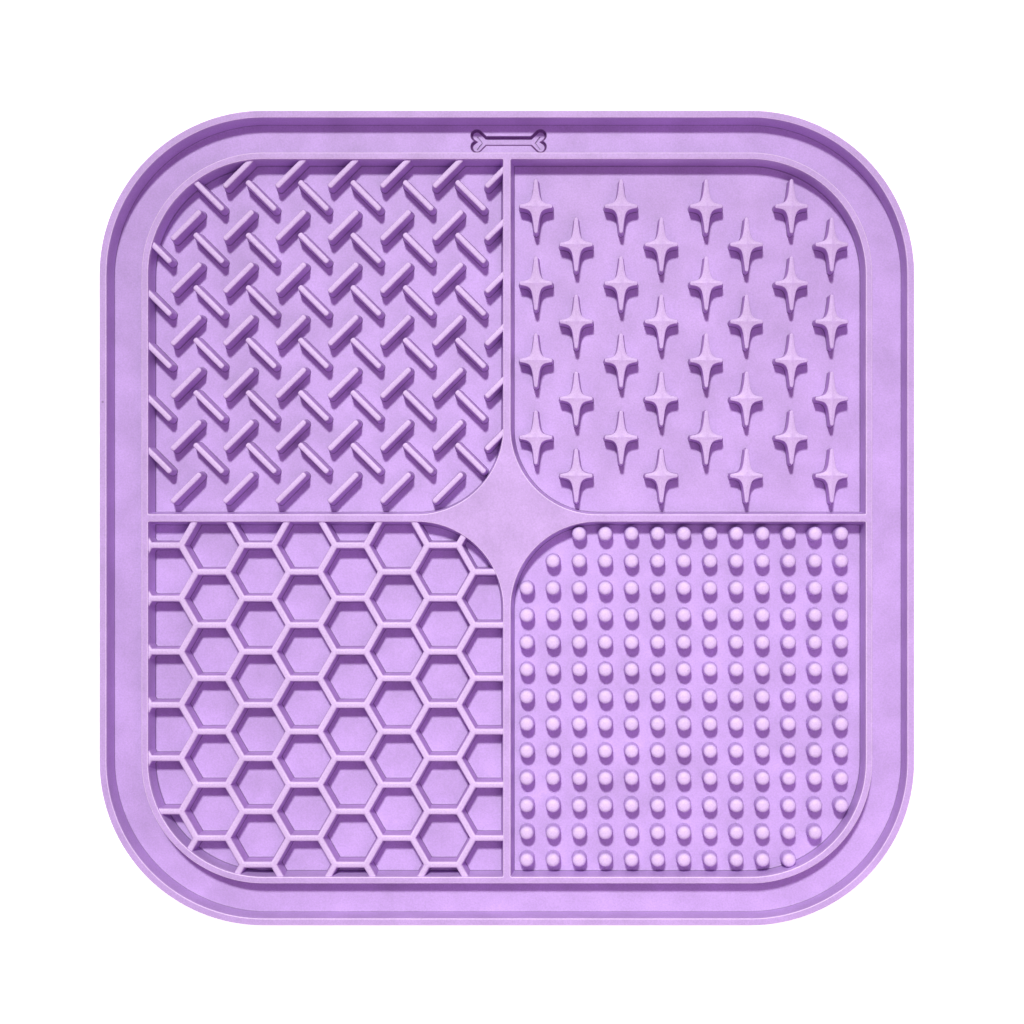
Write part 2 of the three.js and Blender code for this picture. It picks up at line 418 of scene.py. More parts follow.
class MeshMaker:
    """Builds one closed mesh from lofted rings and filled faces, in millimetres."""

    def __init__(self) -> None:
        """Starts an empty mesh."""
        self.bm = bmesh.new()

    def ring(self, points: Iterable[Point], height: float) -> Ring:
        """Adds the points of an outline at one height and returns their vertices."""
        return [self.bm.verts.new((x * MM, y * MM, height * MM)) for x, y in points]

    def strip(self, low: Ring, high: Ring) -> None:
        """Joins two rings with a strip of faces.

        Args:
            low: The first ring.
            high: The second ring, of as many vertices.
        """
        for side in range(len(low)):
            after = (side + 1) % len(low)
            self.bm.faces.new((low[side], low[after], high[after], high[side]))

    def loft(self, outline: Outline, profile: Sequence[Point]) -> tuple[Ring, Ring]:
        """Adds the surface that an outline sweeps along a profile.

        Args:
            outline: The outline, grown by the profile's first number.
            profile: Points (out, height).

        Returns:
            The first and the last ring.
        """
        rings = [self.ring(outline.at(out), height) for out, height in profile]
        for low, high in zip(rings, rings[1:]):
            self.strip(low, high)
        return rings[0], rings[-1]

    def cap(self, ring: Ring) -> None:
        """Closes a ring with one flat face."""
        self.bm.faces.new(ring)

    def crown(self, ring: Ring, rise: float) -> None:
        """Closes a ring round the Z axis with a low crown, whose rings grow rounder inwards.

        Args:
            ring: The ring, at one height.
            rise: How far the crown's middle stands above it.
        """
        edge = [vertex.co.copy() for vertex in ring]
        outer = ring
        hub = min(at.xy.length for at in edge)
        for step in range(1, CROWN_RINGS):
            size = 1.0 - step / CROWN_RINGS
            inner = []
            for at in edge:
                reach = size * (size * at.xy.length + (1.0 - size) * hub)
                across = at.xy.normalized() * reach
                height = at.z + rise * MM * (1.0 - size**CROWN_POWER)
                inner.append(self.bm.verts.new((across.x, across.y, height)))
            self.strip(outer, inner)
            outer = inner
        middle = self.bm.verts.new((0.0, 0.0, edge[0].z + rise * MM))
        for side in range(len(outer)):
            self.bm.faces.new((outer[side], outer[(side + 1) % len(outer)], middle))

    def fill(self, *rings: Ring) -> None:
        """Fills the flat area between an outer ring and the rings of its holes.

        Args:
            rings: The outer ring and then the holes, all at one height.
        """
        edges = []
        for ring in rings:
            for index, vertex in enumerate(ring):
                other = ring[(index + 1) % len(ring)]
                edges.append(self.bm.edges.get((vertex, other)) or self.bm.edges.new((vertex, other)))
        up = Vector((0, 0, 1))
        bmesh.ops.triangle_fill(self.bm, edges=edges, use_beauty=True, use_dissolve=False, normal=up)

    def finish(self, name: str) -> bpy.types.Object:
        """Makes the object, with its faces outwards.

        Args:
            name: The object's name.

        Returns:
            The new object, linked to the scene.
        """
        bmesh.ops.remove_doubles(self.bm, verts=self.bm.verts, dist=MERGE_DISTANCE)
        bmesh.ops.recalc_face_normals(self.bm, faces=self.bm.faces)
        mesh = bpy.data.meshes.new(name)
        self.bm.to_mesh(mesh)
        self.bm.free()
        return linked(name, mesh)


def prototype(
    name: str, outline: Outline, profile: Sequence[Point], rise: float = 0.0,
) -> bpy.types.Object:
    """Makes one closed shape from an outline and a profile, closed at both ends.

    Args:
        name: The object's name.
        outline: The outline, seen from above.
        profile: Points (out, height) from the lowest level to the highest.
        rise: How far the middle of the top stands above the top's edge.

    Returns:
        The new object.
    """
    maker = MeshMaker()
    first, last = maker.loft(outline, profile)
    maker.cap(first)
    if rise > 0.0:
        maker.crown(last, rise)
    else:
        maker.cap(last)
    return maker.finish(name)


class NodeMaker:
    """A node tree, with short ways to add nodes and to link them."""

    def __init__(self, tree: bpy.types.NodeTree) -> None:
        """Takes the tree that the nodes go into."""
        self.tree = tree

    def declare(self, name: str, kind: str, way: str) -> bpy.types.NodeTreeInterfaceSocket:
        """Gives the tree itself a socket of that name and type; way is INPUT or OUTPUT."""
        return self.tree.interface.new_socket(name, in_out=way, socket_type="NodeSocket" + kind)

    def feed(self, socket: Socket, value: object) -> None:
        """Links an input to another socket, or sets it.

        Args:
            socket: The input.
            value: The other socket, or what it is set to.
        """
        if isinstance(value, Socket):
            self.tree.links.new(value, socket)
        else:
            socket.default_value = value

    def node(self, kind: str, links: dict[str | int, object], **settings: object) -> bpy.types.Node:
        """Adds a node.

        Args:
            kind: The node's type.
            links: Input name or index to a socket, a value, or a list of sockets.
            settings: The node's own properties.

        Returns:
            The new node.
        """
        made = self.tree.nodes.new(kind)
        for name, setting in settings.items():
            setattr(made, name, setting)
        for key, source in links.items():
            for one in source if isinstance(source, list) else [source]:
                self.feed(made.inputs[key], one)
        return made

    def math(self, operation: str, *values: object) -> Socket:
        """Adds a Math node on those sockets or numbers and returns its result."""
        return self.node("ShaderNodeMath", dict(enumerate(values)), operation=operation).outputs[0]

    def product(self, first: Socket, *others: object) -> Socket:
        """Multiplies sockets and numbers.

        Args:
            first: A socket.
            others: What it is multiplied by, one after another.

        Returns:
            The result.
        """
        for other in others:
            first = self.math("MULTIPLY", first, other)
        return first

    def vector(self, operation: str, *values: object) -> bpy.types.Node:
        """Adds a Vector Math node on those sockets or values."""
        return self.node("ShaderNodeVectorMath", dict(enumerate(values)), operation=operation)


@dataclass(frozen=True)
class Grid:
    """A grid of copies that runs to +X and -Y from its first one, in millimetres."""

    columns: int
    rows: int
    pitch: Point
    first: Point


class FieldTree(NodeMaker):
    """A Geometry Nodes tree with named inputs, which places copies and ends in a material."""

    def __init__(self, name: str) -> None:
        """Starts a tree that takes and gives geometry.

        Args:
            name: The tree's name.
        """
        super().__init__(bpy.data.node_groups.new(name, "GeometryNodeTree"))
        self.values: dict[str, object] = {}
        self.declare("Geometry", "Geometry", "OUTPUT")
        self.declare("Geometry", "Geometry", "INPUT")
        self.entry = self.tree.nodes.new("NodeGroupInput")

    def value(self, name: str, kind: str, value: object) -> Socket:
        """Adds a named input of that type, which the modifier sets to the value."""
        self.values[self.declare(name, kind, "INPUT").identifier] = value
        return self.entry.outputs[name]

    def grid(self, label: str, grid: Grid) -> Socket:
        """Adds the points of a grid.

        Args:
            label: Name of the grid, which its inputs carry.
            grid: The grid.

        Returns:
            The grid's geometry.
        """
        across = self.value(f"{label} columns", "Int", grid.columns)
        down = self.value(f"{label} rows", "Int", grid.rows)
        pitch_x = self.value(f"{label} pitch X", "Float", grid.pitch[0] * MM)
        pitch_y = self.value(f"{label} pitch Y", "Float", grid.pitch[1] * MM)
        first = (grid.first[0] * MM, grid.first[1] * MM, 0.0)
        start = self.value(f"{label} first", "Vector", first)
        size_x = self.product(self.math("SUBTRACT", across, 1.0), pitch_x)
        size_y = self.product(self.math("SUBTRACT", down, 1.0), pitch_y)
        points = self.node("GeometryNodeMeshGrid", {
            "Size X": size_x, "Size Y": size_y, "Vertices X": across, "Vertices Y": down,
        })
        half = self.node("ShaderNodeCombineXYZ", {
            "X": self.product(size_x, 0.5), "Y": self.product(size_y, -0.5),
        })
        offset = self.vector("ADD", start, half.outputs[0])
        moved = self.node("GeometryNodeSetPosition", {
            "Geometry": points.outputs["Mesh"], "Offset": offset.outputs[0],
        })
        return moved.outputs["Geometry"]

    def copies(self, points: Socket, shape: Socket, turn: float = 0.0) -> Socket:
        """Places copies of a shape.

        Args:
            points: Geometry that holds the points where they stand.
            shape: Geometry of the shape.
            turn: Their turn about Z in radians.

        Returns:
            The copies as real geometry.
        """
        links = {"Points": points, "Instance": shape, "Rotation": (0.0, 0.0, turn)}
        placed = self.node("GeometryNodeInstanceOnPoints", links).outputs["Instances"]
        return self.node("GeometryNodeRealizeInstances", {"Geometry": placed}).outputs["Geometry"]

    def joined(self, *parts: Socket) -> Socket:
        """Joins several geometries."""
        return self.node("GeometryNodeJoinGeometry", {"Geometry": list(parts)}).outputs["Geometry"]

    def field(self, shape: Socket, grids: dict[str, Grid]) -> Socket:
        """Places a copy of a shape on every point of some named grids."""
        return self.joined(*(self.copies(self.grid(*item), shape) for item in grids.items()))

    def without(self, points: Socket, selection: Socket) -> Socket:
        """Deletes the selected points and returns the others."""
        links = {"Geometry": points, "Selection": selection}
        return self.node("GeometryNodeDeleteGeometry", links, domain="POINT").outputs["Geometry"]

    def other(self, name: str, shape: bpy.types.Object) -> Socket:
        """Adds a named object input and returns that object's geometry."""
        source = self.value(name, "Object", shape)
        return self.node("GeometryNodeObjectInfo", {"Object": source}).outputs["Geometry"]

    def apply(self, target: bpy.types.Object, result: Socket, finish: Silicone) -> None:
        """Ends the tree and replaces the object's mesh with the tree's result.

        Args:
            target: The object whose mesh goes into the tree.
            result: The geometry that comes out.
            finish: The finish of the result.
        """
        real = self.node("GeometryNodeRealizeInstances", {"Geometry": result})
        dressed = self.node("GeometryNodeSetMaterial", {
            "Geometry": real.outputs["Geometry"],
            "Material": self.value("Finish", "Material", finish.material()),
        })
        self.node("NodeGroupOutput", {"Geometry": dressed.outputs["Geometry"]})
        modifier = target.modifiers.new(self.tree.name, "NODES")
        modifier.node_group = self.tree
        for identifier, value in self.values.items():
            modifier[identifier] = value
        settle(target)


def settle(target: bpy.types.Object) -> None:
    """Replaces an object's mesh with its evaluated one and removes its modifiers.

    Args:
        target: The object.
    """
    evaluated = target.evaluated_get(bpy.context.evaluated_depsgraph_get())
    mesh = bpy.data.meshes.new_from_object(evaluated)
    target.modifiers.clear()
    target.data = mesh


def even_shading(target: bpy.types.Object) -> None:
    """Shades an object smooth but for its sharp corners, and keeps its flat faces looking flat.

    Args:
        target: The object.
    """
    target.data.shade_smooth()
    target.data.set_sharp_from_angle(angle=SMOOTH_ANGLE)
    weighted = target.modifiers.new("Even shading", "WEIGHTED_NORMAL")
    weighted.mode = "FACE_AREA"
    weighted.weight = FLAT_FACE_WEIGHT
    weighted.keep_sharp = True
    settle(target)


class ShaderGroup(NodeMaker):
    """A shader node group with named inputs and outputs."""

    def __init__(self, name: str, inputs: dict[str, str], outputs: dict[str, str]) -> None:
        """Starts a group.

        Args:
            name: The group's name.
            inputs: Input name to its type, such as Float.
            outputs: Output name to its type.
        """
        super().__init__(bpy.data.node_groups.new(name, "ShaderNodeTree"))
        for way, sockets in (("INPUT", inputs), ("OUTPUT", outputs)):
            for socket, kind in sockets.items():
                self.declare(socket, kind, way)
        self.given = self.tree.nodes.new("NodeGroupInput").outputs

    def step(self, source: Socket, band: Point, unit: float = 1.0) -> Socket:
        """Adds a smooth step.

        Args:
            source: The value that is measured.
            band: Where the step gives 0 and where it gives 1; the second may be the lower.
            unit: Size of the band's unit.

        Returns:
            The step's result.
        """
        rising = band[0] < band[1]
        return self.node("ShaderNodeMapRange", {
            "Value": source, "From Min": min(band) * unit, "From Max": max(band) * unit,
            "To Min": float(not rising), "To Max": float(rising),
        }, interpolation_type="SMOOTHSTEP").outputs["Result"]

    def scaled(self, colour: Socket, gain: Socket) -> Socket:
        """Makes a colour lighter or darker."""
        links = {0: colour, "Scale": gain}
        return self.node("ShaderNodeVectorMath", links, operation="SCALE").outputs[0]

    def blended(self, factor: Socket, first: object, second: object) -> Socket:
        """Mixes two colours; factor is the share of the second."""
        links = {0: factor, 6: first, 7: second}
        return self.node("ShaderNodeMix", links, data_type="RGBA").outputs[2]


@dataclass(frozen=True)
class Mottle:
    """Soft clouds of tone and sparse dark specks of dust; scales are in cells a metre."""

    cloud_scale: float = 110.0
    cloud_detail: float = 4.0
    cloud_gain: float = 5.0
    speck_scale: float = 90.0
    speck_radius: float = 0.03
    speck_share: float = 0.12
    speck_colour: Triple = (0.12, 0.06, 0.15)

    @cache
    def group(self) -> bpy.types.NodeTree:
        """Builds the group, once for all materials.

        Returns:
            The group, which gives a colour.
        """
        group = ShaderGroup(
            "Silicone mottle",
            {"Place": "Vector", "Base": "Color", "Amount": "Float", "Dust": "Float"},
            {"Colour": "Color"},
        )
        place = group.given["Place"]
        cloud = group.node("ShaderNodeTexNoise", {
            "Vector": place, "Scale": self.cloud_scale, "Detail": self.cloud_detail,
        })
        gain = self.cloud_gain
        centred = group.math("MULTIPLY_ADD", cloud.outputs["Fac"], gain, -gain * NOISE_MIDDLE)
        swing = group.math("MULTIPLY_ADD", centred, group.given["Amount"], 1.0)
        toned = group.scaled(group.given["Base"], swing)
        cells = group.node("ShaderNodeTexVoronoi", {"Vector": place, "Scale": self.speck_scale})
        near = group.math("LESS_THAN", cells.outputs["Distance"], self.speck_radius)
        pick = group.node("ShaderNodeSeparateColor", {"Color": cells.outputs["Color"]})
        rare = group.math("LESS_THAN", pick.outputs["Red"], self.speck_share)
        speck = group.product(near, rare, group.given["Dust"])
        dusty = group.blended(speck, toned, (*self.speck_colour, 1.0))
        group.node("NodeGroupOutput", {"Colour": dusty})
        return group.tree


@dataclass(frozen=True)
class Grain:
    """The fine matt grain of a moulding, and broad patches where it is rougher or smoother."""

    fine_detail: float = 3.0
    fine_roughness: float = 0.6
    patch_scale: float = 60.0
    patch_detail: float = 2.0
    patch_swing: float = 0.12

    @cache
    def group(self) -> bpy.types.NodeTree:
        """Builds the group, once for all materials.

        Returns:
            The group, which gives a height and a roughness.
        """
        group = ShaderGroup(
            "Moulding grain",
            {"Place": "Vector", "Size": "Float", "Roughness": "Float"},
            {"Height": "Float", "Roughness": "Float"},
        )
        place = group.given["Place"]
        fine = group.node("ShaderNodeTexNoise", {
            "Vector": place, "Scale": group.math("DIVIDE", 1.0, group.given["Size"]),
            "Detail": self.fine_detail, "Roughness": self.fine_roughness,
        })
        broad = group.node("ShaderNodeTexNoise", {
            "Vector": place, "Scale": self.patch_scale, "Detail": self.patch_detail,
        })
        swing = self.patch_swing
        spread = group.math("MULTIPLY_ADD", broad.outputs["Fac"], swing, -swing * NOISE_MIDDLE)
        group.node("NodeGroupOutput", {
            "Height": fine.outputs["Fac"],
            "Roughness": group.math("ADD", group.given["Roughness"], spread),
        })
        return group.tree


@dataclass(frozen=True)
class GrainFleckAndPaintedLight:
    """Painted highlights on tops and edges, painted shade on sides, feet and crevices, and grain
    fleck.

    Each band runs from where a painted highlight or shade starts to where it is full. Slopes are the
    Z of the surface's normal, heights are in millimetres, and the lip's band is how far inside the
    outline a place is.
    """

    open_slopes: Point = (0.3, 0.8)
    edge_slopes: Point = (0.995, 0.93)
    foot_slopes: Point = (0.96, 0.75)
    side_slopes: Point = (0.85, 0.4)
    top_heights: Point = (6.2, 7.0)
    foot_heights: Point = (3.4, 2.9)
    sunk_heights: Point = (2.45, 2.25)
    inside_lip: Point = (0.6, 1.2)

    def off_the_side(self, group: ShaderGroup) -> Socket:
        """Adds a mask that is 1 everywhere but on the mat's outer side, to keep painted shade off it.

        Args:
            group: The group that it goes into.

        Returns:
            The mask.
        """
        centre = PLAN.corner_centre * MM
        side = PLAN.half - PLAN.corner_centre
        folded = group.vector("ABSOLUTE", group.given["Place"])
        past = group.vector("SUBTRACT", folded.outputs[0], (centre, centre, 1.0))
        clipped = group.vector("MAXIMUM", past.outputs[0], (0.0, 0.0, 0.0))
        reach = group.vector("LENGTH", clipped.outputs[0]).outputs["Value"]
        return group.step(reach, (side - self.inside_lip[0], side - self.inside_lip[1]), MM)

    @cache
    def group(self) -> bpy.types.NodeTree:
        """Builds the group, once for all materials.

        Returns:
            The group, which gives a colour with painted highlight and shade.
        """
        amounts = ("Fleck", "Grain", "Top highlight", "Edges", "Side shade", "Foot shade", "Crevice shade")
        colours = ("Colour", "Pale", "Shade colour")
        inputs = {"Place": "Vector", "Normal": "Vector"}
        inputs.update(dict.fromkeys(amounts, "Float"))
        inputs.update(dict.fromkeys(colours, "Color"))
        group = ShaderGroup("Grain fleck and painted light", inputs, {"Colour": "Color"})
        given = group.given
        height = group.node("ShaderNodeSeparateXYZ", {0: given["Place"]}).outputs["Z"]
        upward = group.node("ShaderNodeSeparateXYZ", {0: given["Normal"]}).outputs["Z"]
        # painted highlight: open tops and rounded top edges, high up, are mixed towards the pale
        # colour
        open_up = group.step(upward, self.open_slopes)
        edge = group.product(open_up, group.step(upward, self.edge_slopes), given["Edges"])
        top = group.product(open_up, given["Top highlight"])
        high = group.step(height, self.top_heights, MM)
        painted_highlight_mask = group.product(group.math("ADD", edge, top), high)
        # painted shade: darker lines at the feet of steep walls, and darker sunk bone walls, inside
        # the lip
        steep = group.product(group.step(upward, self.foot_slopes), self.off_the_side(group))
        foot = group.product(steep, group.step(height, self.foot_heights, MM), given["Foot shade"])
        sunk = group.product(steep, group.step(height, self.sunk_heights, MM))
        # painted shade: steep sides and the sunk bone's walls are mixed towards the deep colour
        painted_side_shade_mask = group.product(group.step(upward, self.side_slopes), given["Side shade"])
        side = group.math("MAXIMUM", painted_side_shade_mask, sunk)
        painted_dark_shade_mask = group.math("MAXIMUM", foot, group.product(sunk, given["Crevice shade"]))
        fleck = group.product(group.math("SUBTRACT", given["Fleck"], NOISE_MIDDLE), given["Grain"])
        gain = group.math("SUBTRACT", group.math("ADD", fleck, 1.0), painted_dark_shade_mask)
        # the deep colour is painted shade and the pale colour painted highlight
        with_painted_shade = group.blended(side, given["Colour"], given["Shade colour"])
        with_painted_highlight = group.blended(painted_highlight_mask, with_painted_shade, given["Pale"])
        group.node("NodeGroupOutput", {"Colour": group.scaled(with_painted_highlight, gain)})
        return group.tree


@dataclass(frozen=True)
class Silicone:
    """A satin lilac silicone with fine grain, mottling and dust, and painted light and shade.

    The painted highlight and shade go by height and slope. The grain's size and depth are in
    millimetres.
    """

    name: str
    colour: Triple = (0.61, 0.445, 0.76)
    # the pale and deep colours and the next five amounts are painted highlight and painted shade
    painted_highlight_colour: Triple = (0.96, 0.83, 1.0)
    painted_shade_colour: Triple = (0.48, 0.20, 0.60)
    mottle: float = 0.09
    painted_top_highlight: float = 0.05
    painted_edge_highlight: float = 0.75
    painted_side_shade: float = 0.12
    painted_foot_shade: float = 0.42
    painted_crevice_shade: float = 0.6
    roughness: float = 0.45
    ior: float = 1.41
    grain_size: float = 0.4
    grain_depth: float = 0.02
    grain_tone: float = 0.45
    dust: float = 0.5

    @cache
    def material(self) -> bpy.types.Material:
        """Builds the material, once for all pieces that have it.

        Returns:
            The material.
        """
        material = bpy.data.materials.new(self.name)
        material.use_nodes = True
        tree = NodeMaker(material.node_tree)
        place = tree.node("ShaderNodeTexCoord", {}).outputs
        tone = tree.node("ShaderNodeGroup", {
            "Place": place["Object"], "Base": (*self.colour, 1.0),
            "Amount": self.mottle, "Dust": self.dust,
        }, node_tree=Mottle().group())
        grain = tree.node("ShaderNodeGroup", {
            "Place": place["Object"], "Size": self.grain_size * MM, "Roughness": self.roughness,
        }, node_tree=Grain().group())
        # the relief group paints highlight on tops and edges and shade on sides, feet and crevices
        relief = tree.node("ShaderNodeGroup", {
            "Place": place["Object"], "Normal": place["Normal"], "Colour": tone.outputs["Colour"],
            "Pale": (*self.painted_highlight_colour, 1.0), "Shade colour": (*self.painted_shade_colour, 1.0), "Top highlight": self.painted_top_highlight,
            "Edges": self.painted_edge_highlight, "Side shade": self.painted_side_shade, "Foot shade": self.painted_foot_shade,
            "Crevice shade": self.painted_crevice_shade, "Fleck": grain.outputs["Height"], "Grain": self.grain_tone,
        }, node_tree=GrainFleckAndPaintedLight().group())
        bump = tree.node("ShaderNodeBump", {
            "Height": grain.outputs["Height"], "Distance": self.grain_depth * MM,
        })
        shader = material.node_tree.nodes["Principled BSDF"].inputs
        tree.feed(shader["IOR"], self.ior)
        tree.feed(shader["Base Color"], relief.outputs["Colour"])
        tree.feed(shader["Roughness"], grain.outputs["Roughness"])
        tree.feed(shader["Normal"], bump.outputs["Normal"])
        return material


# the four finishes are one silicone that carries more or less painted highlight and shade
SHEET = Silicone("Silicone sheet")
RELIEF = Silicone("Silicone relief", painted_top_highlight=0.45, painted_edge_highlight=0.1, painted_side_shade=0.3)
STARS = Silicone("Silicone stars", painted_top_highlight=0.22, painted_edge_highlight=0.2, painted_side_shade=0.3)
# the domes' lighter base colour is painted highlight, not a colour of their own
DOMES_PAINTED_LIGHTER = Silicone(
    "Silicone domes painted lighter", colour=(0.68, 0.51, 0.84), painted_top_highlight=0.5, painted_edge_highlight=0.0,
    painted_side_shade=0.0, painted_foot_shade=0.15,
)


@dataclass(frozen=True)
class Bone:
    """A plain bone, sunk in the channel floor: a straight shaft with two round knobs at each end.

    Its section runs from its floor up past the channel floor, out from the bone's outline. Fine
    creases lead in from between the knobs.
    """

    centre: Point = (0.17, 94.0)
    knob_x: float = 7.93
    knob_y: float = 1.4
    knob_radius: float = 1.57
    shaft_half: float = 1.22
    knob_steps: int = 14
    section: Section = (
        Corner(-0.8, 1.45),
        Corner(-0.58, 1.45, 0.08),
        Corner(-0.04, 2.175),
        Corner(0.0, 2.85, 0.03),
        Corner(0.1, HEIGHTS.channel_floor),
        Corner(0.1, 3.9),
    )
    section_steps: int = 3
    crease_floor: float = 1.05
    crease_from: float = 6.6
    crease_to: float = 7.75
    crease_drop: float = 0.35
    crease_rise: float = 1.5
    crease_taper: float = 0.06

    def at(self, grow: float) -> list[Point]:
        """Points of the bone's edge.

        Args:
            grow: Distance outwards, or inwards where it is negative.

        Returns:
            The points, anticlockwise.
        """
        notch = math.degrees(math.asin(self.knob_y / self.knob_radius))
        knob = arc((self.knob_x, self.knob_y), self.knob_radius, -notch, 135, self.knob_steps)
        foot_x = knob[-1][0] - (knob[-1][1] - self.shaft_half)
        right = [*knob, (foot_x, self.shaft_half)]
        upper = [*right, *[(-x, y) for x, y in right[::-1]]]
        lower = [(-x, -y) for x, y in upper[1:-1]]
        moved = grown([*upper, *lower], grow)
        return [(x + self.centre[0], y + self.centre[1]) for x, y in moved]

    def cutters(self) -> list[bpy.types.Object]:
        """Makes the solids that are cut out of the channel floor.

        Returns:
            The bone and its creases.
        """
        crease = [(-self.crease_taper, self.crease_floor), (0.0, HEIGHTS.channel_floor)]
        centre_x, centre_y = self.centre
        made = [prototype("bone", self, rounded_profile(self.section, self.section_steps))]
        for side in (-1, 1):
            for up in (-1, 1):
                start = (centre_x + side * self.crease_from, centre_y - self.crease_drop)
                end = (centre_x + side * self.crease_to, start[1] + up * self.crease_rise)
                made.append(prototype("crease", StrokeOutline(start, end), crease))
        return made


@dataclass(frozen=True)
class Body:
    """The sheet with its lip, channel, rim, dividers, web and sunk bone.

    Its outer section runs from the underside over the lip and through the channel to the rim's top,
    out from the mat's middle. The pocket's section runs from its top edge down to its floor.
    """

    outer: Section = (
        Corner(99.2, 0.0),
        Corner(PLAN.half, 0.0, PLAN.edge),
        Corner(PLAN.half, HEIGHTS.lip_top, PLAN.edge),
        Corner(PLAN.lip_inside, HEIGHTS.lip_top, PLAN.edge),
        Corner(PLAN.lip_foot, HEIGHTS.channel_floor, PLAN.foot),
        Corner(97.2, HEIGHTS.channel_floor),
        Corner(91.2, HEIGHTS.channel_floor),
        Corner(PLAN.rim_foot, HEIGHTS.channel_floor, PLAN.foot / 2),
        Corner(PLAN.rim_outside, HEIGHTS.rim_top, PLAN.edge),
        Corner(89.4, HEIGHTS.rim_top),
    )
    pocket: Section = (
        Corner(0.55, HEIGHTS.rim_top),
        Corner(0.0, HEIGHTS.rim_top, PLAN.edge),
        Corner(-PLAN.draft, HEIGHTS.pocket_floor, PLAN.foot),
        Corner(-1.5, HEIGHTS.pocket_floor),
    )
    bone: Bone = Bone()
    finish: Silicone = SHEET

    def build(self) -> bpy.types.Object:
        """Makes the body.

        Returns:
            The body.
        """
        maker = MeshMaker()
        underside, plateau = maker.loft(SquareOutline(), rounded_profile(self.outer))
        maker.cap(underside)
        pockets = []
        for quadrant in Quadrant:
            edge, floor = maker.loft(PocketOutline(quadrant), rounded_profile(self.pocket))
            pockets.append(edge)
            maker.fill(floor)
        maker.fill(plateau, *pockets)
        body = maker.finish("body")
        for cutter in self.bone.cutters():
            cut = body.modifiers.new("Bone", "BOOLEAN")
            cut.object = cutter
            cut.operation = "DIFFERENCE"
            cut.solver = "EXACT"
            settle(body)
            bpy.data.objects.remove(cutter)
        body.data.materials.append(self.finish.material())
        return body


@dataclass(frozen=True)
class Moulding:
    """How raised relief is formed: the radii of its top edge and its foot, and its draft.

    The foot ends in a narrow skirt a little under the floor, so that it meets the floor cleanly.
    """

    top: float
    edge: float
    draft: float
    foot: float
    flat: float = 0.02
    skirt: float = 0.1
    sunk: float = 0.03
    steps: int = 4

    def profile(self) -> list[Point]:
        """Profile from under the floor up the side and onto the top.

        Returns:
            Points (grow, height), with grow measured from the top's edge.
        """
        floor = HEIGHTS.pocket_floor - self.sunk
        widest = self.draft + self.foot + self.skirt
        return rounded_profile([
            Corner(widest, HEIGHTS.root),
            Corner(widest, floor),
            Corner(self.draft, floor, self.foot),
            Corner(0.0, self.top, self.edge),
            Corner(-self.edge - self.flat, self.top),
        ], steps=self.steps)


@dataclass(frozen=True)
class Bars:
    """Slim upright bars that lean by turns to the left and to the right."""

    right: Grid = Grid(7, 7, (12.92, 12.96), (-79.19, 85.2))
    left: Grid = Grid(7, 6, (12.92, 12.96), (-86.51, 79.58))
    lean: float = math.pi / 4
    moulding: Moulding = Moulding(HEIGHTS.bar_top, edge=0.5, draft=0.4, foot=0.25)
    finish: Silicone = RELIEF

    def build(self) -> bpy.types.Object:
        """Makes the field of bars, cut off where they run into the pocket's walls.

        Returns:
            The field.
        """
        bars = prototype("bars", BarOutline(), self.moulding.profile())
        room = PocketOutline(Quadrant.BARS).filled("bar_room", HEIGHTS.rim_top)
        tree = FieldTree("Bar field")
        shape = tree.entry.outputs["Geometry"]
        # the left-leaning bar in the far corner would only graze the rim; grids count up Y first
        corner = tree.node("FunctionNodeCompare", {
            2: tree.node("GeometryNodeInputIndex", {}).outputs[0], 3: self.left.rows - 1,
        }, data_type="INT", operation="EQUAL")
        left = tree.without(tree.grid("Left", self.left), corner.outputs[0])
        both = tree.joined(
            tree.copies(tree.grid("Right", self.right), shape, self.lean),
            tree.copies(left, shape, -self.lean),
        )
        cut = tree.node("GeometryNodeMeshBoolean", {
            "Mesh 2": [both, tree.other("Room", room)],
        }, operation="INTERSECT", solver="EXACT")
        tree.apply(bars, cut.outputs["Mesh"], self.finish)
        bpy.data.objects.remove(room)
        return bars


@dataclass(frozen=True)
class Stars:
    """Four-pointed stars in two staggered sets, each star with a low crown."""

    first: Grid = Grid(4, 4, (21.04, 19.03), (7.1, 77.0))
    second: Grid = Grid(4, 4, (21.04, 19.03), (17.05, 67.55))
    rise: float = 0.5
    moulding: Moulding = Moulding(HEIGHTS.crown_foot, edge=0.3, draft=0.25, foot=0.2)
    finish: Silicone = STARS

    def build(self) -> bpy.types.Object:
        """Makes the field of stars.

        Returns:
            The field.
        """
        stars = prototype("stars", StarOutline(), self.moulding.profile(), self.rise)
        tree = FieldTree("Star field")
        grids = {"First set": self.first, "Second set": self.second}
        tree.apply(stars, tree.field(tree.entry.outputs["Geometry"], grids), self.finish)
        return stars


